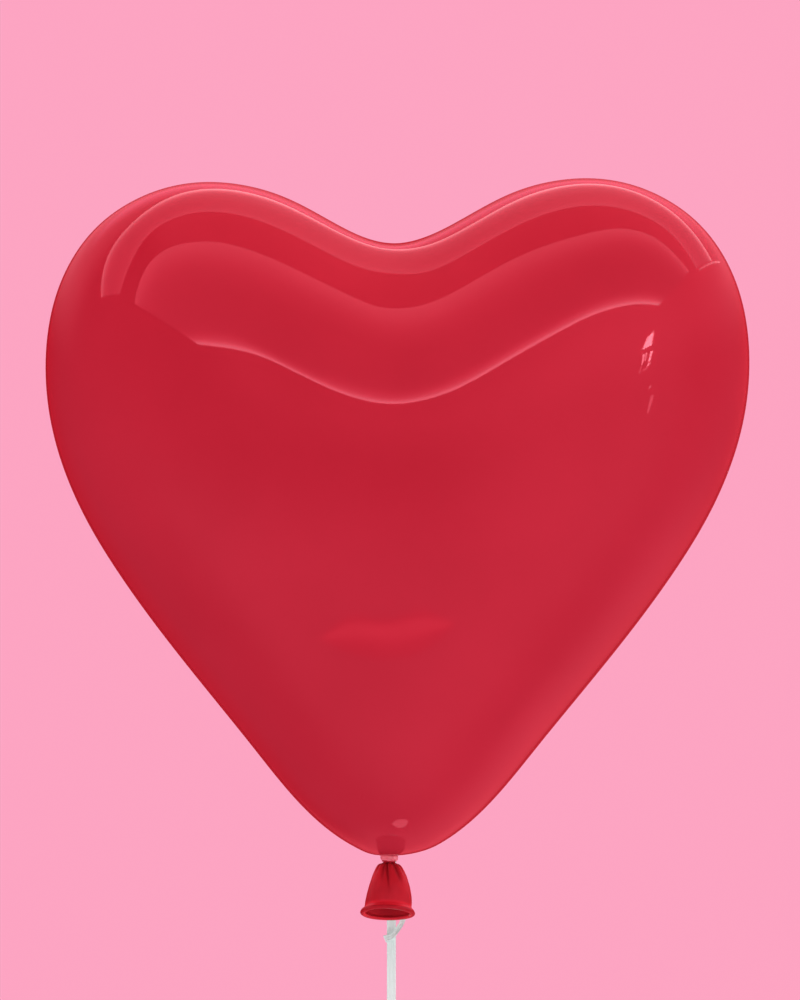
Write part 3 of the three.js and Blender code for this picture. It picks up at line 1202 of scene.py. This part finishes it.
@dataclass
class Studio:
    """Camera, lights, floor and backdrop.

    The picture's width is in pixels. A pixel, the picture's centre and the camera's sensor
    are in millimetres, and all else is in metres.
    """

    pixel_mm: float = 0.555
    frame_width: int = 800
    centre_x: float = 5.97
    centre_z: float = 199.0
    distance: float = 3.2
    sensor: float = 36.0
    view_reach: float = 50.0
    floor_z: float = -2.6
    paper_reach: float = 9.0
    paper_height: float = 12.0
    paper_bend: float = 3.0
    paper_sides: int = 96
    bend_steps: int = 24
    room_colour: Colour = (0.56, 0.027, 0.045, 1.0)
    lamps: tuple[FillLamp, ...] = (
        FillLamp("front_fill", (0.3, -3.6, 0.6), 2.4, 34.3),
        FillLamp("rear_fill", (0.3, 3.6, 0.3), 2.4, 92.0),
        FillLamp("left_fill", (-2.6, -0.5, -0.5), 2.0, 42.0),
        FillLamp("right_fill", (2.6, -0.5, -0.5), 2.0, 47.0),
        FillLamp("low_fill", (0.0, -1.0, -1.1), 1.6, 16.5, (0.0, 0.0, 0.1)),
    )

    def camera(self) -> None:
        """Makes the camera that sees the balloon as the photograph does."""
        lens = bpy.data.cameras.new("photo_camera")
        lens.sensor_fit = "HORIZONTAL"
        lens.sensor_width = self.sensor
        lens.lens = self.sensor * self.distance / (self.frame_width * self.pixel_mm * MM)
        lens.clip_end = self.view_reach
        eye = bpy.data.objects.new("photo_camera", lens)
        eye.location = (self.centre_x * MM, -self.distance, self.centre_z * MM)
        eye.rotation_euler = (math.pi / 2, 0.0, 0.0)
        bpy.context.scene.collection.objects.link(eye)
        bpy.context.scene.camera = eye

    def sweep(self, paper: StudioPaper) -> None:
        """Makes the floor and the backdrop, which curve into each other all round the balloon.

        Neither is mirrored in the film or lights it: the lamps and the cloth do that.

        Args:
            paper: their finish.
        """
        flat, bend, steps = self.paper_reach - self.paper_bend, self.paper_bend, self.bend_steps
        rows = [(flat, 0.0)]
        for i in range(1, steps + 1):
            angle = i / steps * math.pi / 2
            rows.append((flat + bend * math.sin(angle), bend - bend * math.cos(angle)))
        rows.append((self.paper_reach, self.paper_height))
        finish = paper.make()
        for name, run in (("paper_floor", [(0.0, 0.0), rows[0]]), ("paper_backdrop", rows)):
            vertices = revolved(run, self.paper_sides) + (0.0, 0.0, self.floor_z)
            faces = grid_faces(len(run), self.paper_sides)
            sheet = mesh_piece(name, vertices / MM, faces, finish)
            sheet.visible_glossy = False
            sheet.visible_diffuse = False

    def air(self) -> None:
        """Makes the room that the film mirrors: dark pink walls under a brighter ceiling.

        The ceiling is lit from the middle to the right and at the back, and so is the
        right-hand wall. The floor is lit at the back, and it and the right-hand wall are
        brightest at the viewer's end. Far behind the balloon the walls are a deep red, and
        darkest straight behind it. The room is only mirrored and lights nothing.
        """
        world = bpy.data.worlds.new("studio_air")
        world.use_nodes = True
        tree = world.node_tree
        tree.nodes.clear()
        way = add_node(tree, "TexCoord").outputs["Generated"]
        part = add_node(tree, "SeparateXYZ", {"Vector": way})
        steps = {}
        for name, axis, low, high, most in (
            ("open", "X", -0.6, -0.3, 1.0),
            ("up", "Z", 0.05, 0.4, 1.0),
            ("right", "X", -0.1, 0.6, 1.0),
            ("down", "Z", 0.0, -0.45, 1.0),
            ("front", "Y", -0.1, -0.6, 1.0),
            ("rear", "Y", 0.0, 0.4, 1.0),
            ("low", "Z", -0.15, -0.6, 1.0),
            ("behind", "Y", 0.45, 0.75, 1.0),
            ("high", "Z", 0.46, 0.56, 1.0),
            ("not_left", "X", -0.42, -0.15, 1.0),
            ("straight_behind", "Y", 0.86, 0.95, 0.5),
        ):
            span = {"Value": part.outputs[axis], "From Min": low, "From Max": high, "To Max": most}
            step = add_node(tree, "MapRange", span, interpolation_type="SMOOTHSTEP")
            steps[name] = step.outputs["Result"]
        for name, operation, first, second in (
            ("clear", "MAXIMUM", "open", "rear"),
            ("ceiling", "MULTIPLY", "clear", "up"),
            ("low_or_right", "MAXIMUM", "down", "right"),
            ("near", "MULTIPLY", "low_or_right", "front"),
            ("low_rear", "MULTIPLY", "low", "rear"),
            ("far_floor", "MULTIPLY", "low_rear", "not_left"),
            ("cornice", "MULTIPLY", "high", "behind"),
        ):
            pair = {0: steps[first], 1: steps[second]}
            steps[name] = add_node(tree, "Math", pair, operation=operation).outputs["Value"]
        colour = add_node(tree, "RGB").outputs["Color"]
        colour.default_value = self.room_colour
        for name, blend, layer in (
            ("behind", "MIX", (0.74, 0.008, 0.02, 1.0)),
            ("ceiling", "MIX", (1.5, 0.33, 0.43, 1.0)),
            ("cornice", "ADD", (0.65, 0.2, 0.34, 1.0)),
            ("right", "ADD", (0.3, 0.05, 0.065, 1.0)),
            ("near", "ADD", (0.6, 0.34, 0.38, 1.0)),
            ("far_floor", "ADD", (0.55, 0.12, 0.16, 1.0)),
            ("straight_behind", "MIX", (0.3, 0.0, 0.0, 1.0)),
        ):
            mix = {0: steps[name], 6: colour, 7: layer}
            colour = add_node(tree, "Mix", mix, data_type="RGBA", blend_type=blend).outputs[2]
        light = add_node(tree, "Background", {"Color": colour}).outputs["Background"]
        add_node(tree, "OutputWorld", {"Surface": light})
        world.cycles_visibility.diffuse = False
        bpy.context.scene.world = world

    def light(self) -> None:
        """Hangs the panels, sets up the lamps and shows colours as they are."""
        cloth = DiffusionCloth().make()
        for panel in (FRONT_PANEL, REAR_PANEL, *WINDOWS, FLOOR_LIGHT):
            panel.build(cloth)
        NEAR_GLOW.build(DiffusionCloth("rose_diffusion_gel", (1.5, 0.18, 0.24, 1.0)).make())
        for lamp in self.lamps:
            lamp.build()
        self.air()
        bpy.context.scene.view_settings.view_transform = "Standard"


def main() -> None:
    """Builds the studio and every piece of the balloon, in order."""
    logging.basicConfig(level=logging.INFO, format="%(message)s")
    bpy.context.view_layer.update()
    studio = Studio()
    studio.camera()

    ribbon = CurlingRibbon().make()
    hand_loop = HandLoop().build(ribbon)
    end_knot = END_KNOT.build(ribbon)
    run = RibbonRun().build(ribbon, [end_knot, hand_loop])
    short_end = ShortEnd().build(ribbon)
    neck_knot = NECK_KNOT.build(ribbon)
    winding = NeckWinding().build(StretchedRibbon().make())
    heart = HeartSkin().build(DippedLatex())
    tail = Tail().build(GatheredLatex())
    for piece in (hand_loop, end_knot, run, short_end, neck_knot, winding, heart, tail):
        log.info("%s: %d faces", piece.name, len(piece.data.polygons))

    studio.sweep(StudioPaper())
    studio.light()


if __name__ == "__main__":
    main()
